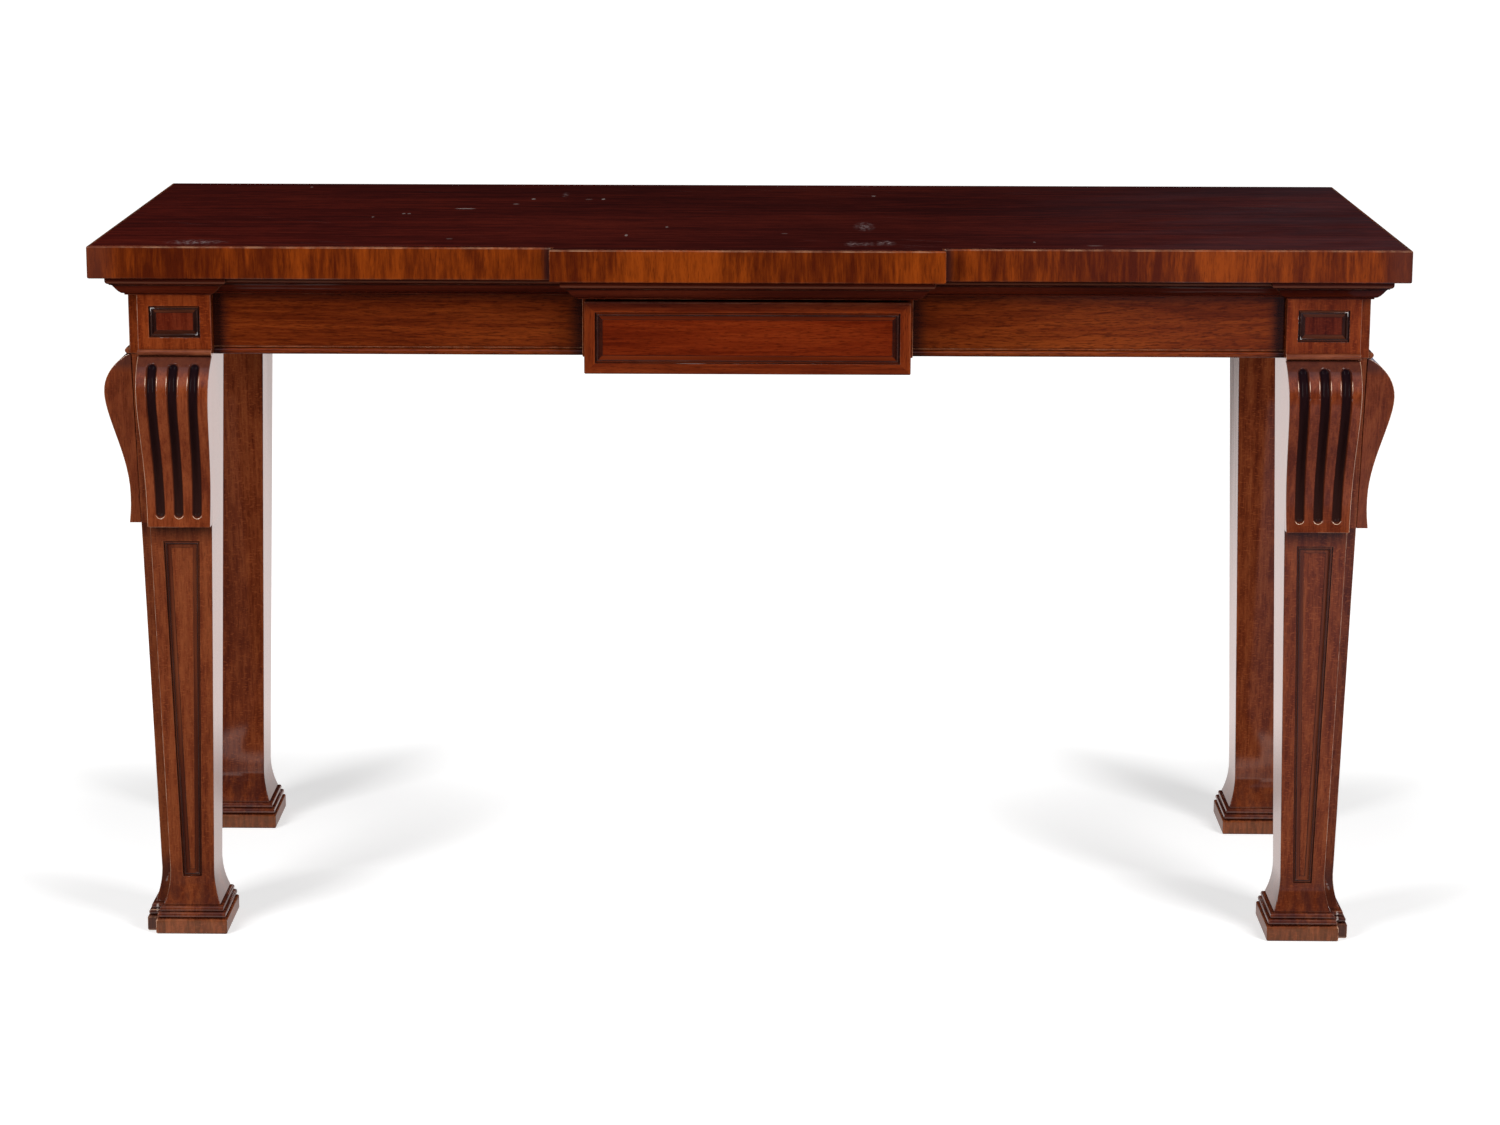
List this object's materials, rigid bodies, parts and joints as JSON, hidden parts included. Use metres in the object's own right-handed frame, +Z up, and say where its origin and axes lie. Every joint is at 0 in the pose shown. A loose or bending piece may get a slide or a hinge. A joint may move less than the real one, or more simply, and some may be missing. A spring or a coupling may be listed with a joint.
{
  "type": "serving table",
  "caption": "Breakfront serving table with a thick cross-banded top, a concealed centre drawer, notched tapered legs, fluted scroll brackets and stepped feet.",
  "frame": {"origin": "on the floor under the middle of the top's outline", "axes": "+X to the right seen from the front, +Y to the back, +Z up; the front faces -Y"},
  "size_m": [1.61, 0.649, 0.888],
  "materials": {
    "top": "dark red-brown polished mahogany, lightly scratched",
    "cross_band": "cross-grain orange-brown mahogany band, polished",
    "mahogany": "polished mahogany, straight grain",
    "moulding": "polished mahogany moulding, darker in the hollows",
    "glazed_moulding": "nearly black glazed moulding",
    "tablet": "polished mahogany with a cross-grain border",
    "lining": "plain unpolished secondary wood"
  },
  "bodies": {
    "frame": {"top_panel": "top", "edge_band_left": "cross_band", "edge_band_front_left": "cross_band", "edge_band_front_centre": "cross_band", "edge_band_front_right": "cross_band", "edge_band_right": "cross_band", "edge_band_back": "cross_band", "leg_front_left": "mahogany", "leg_front_right": "mahogany", "leg_rear_left": "mahogany", "leg_rear_right": "mahogany", "bracket_left_front": "mahogany", "bracket_left_side": "mahogany", "bracket_right_front": "mahogany", "bracket_right_side": "mahogany", "frieze_board_left": "mahogany", "frieze_board_right": "mahogany", "side_rail_left": "mahogany", "side_rail_right": "mahogany", "back_rail": "mahogany", "drawer_rail_upper": "mahogany", "drawer_rail_lower": "mahogany", "drawer_cheek_left": "mahogany", "drawer_cheek_right": "mahogany", "bed_mould_rear_block_left": "moulding", "bed_mould_side_left": "moulding", "bed_mould_front_block_left": "moulding", "bed_mould_frieze_left": "moulding", "bed_mould_centre": "moulding", "bed_mould_frieze_right": "moulding", "bed_mould_front_block_right": "moulding", "bed_mould_side_right": "moulding", "bed_mould_rear_block_right": "moulding", "centre_cornice_block": "moulding", "block_bead_left_front": "moulding", "block_bead_left_side": "moulding", "block_bead_right_front": "moulding", "block_bead_right_side": "moulding", "block_panel_moulding_left_front": "glazed_moulding", "block_panel_moulding_left_side": "glazed_moulding", "block_panel_moulding_right_front": "glazed_moulding", "block_panel_moulding_right_side": "glazed_moulding", "leg_panel_moulding_left_front": "glazed_moulding", "leg_panel_moulding_left_side": "glazed_moulding", "leg_panel_moulding_right_front": "glazed_moulding", "leg_panel_moulding_right_side": "glazed_moulding", "drawer_runner_left": "lining", "drawer_runner_right": "lining", "drawer_kicker_left": "lining", "drawer_kicker_right": "lining", "corner_brace_front_left": "lining", "corner_brace_front_right": "lining", "corner_brace_rear_left": "lining", "corner_brace_rear_right": "lining"},
    "drawer": {"drawer_front": "tablet", "drawer_front_moulding": "glazed_moulding", "drawer_side_left": "lining", "drawer_side_right": "lining", "drawer_back": "lining", "drawer_bottom": "lining"}
  },
  "joints": [
    {"name": "drawer_slide", "type": "slide", "parent": "frame", "child": "drawer", "axis": [0, -1, 0], "range_m": [0, 0.3]}
  ]
}
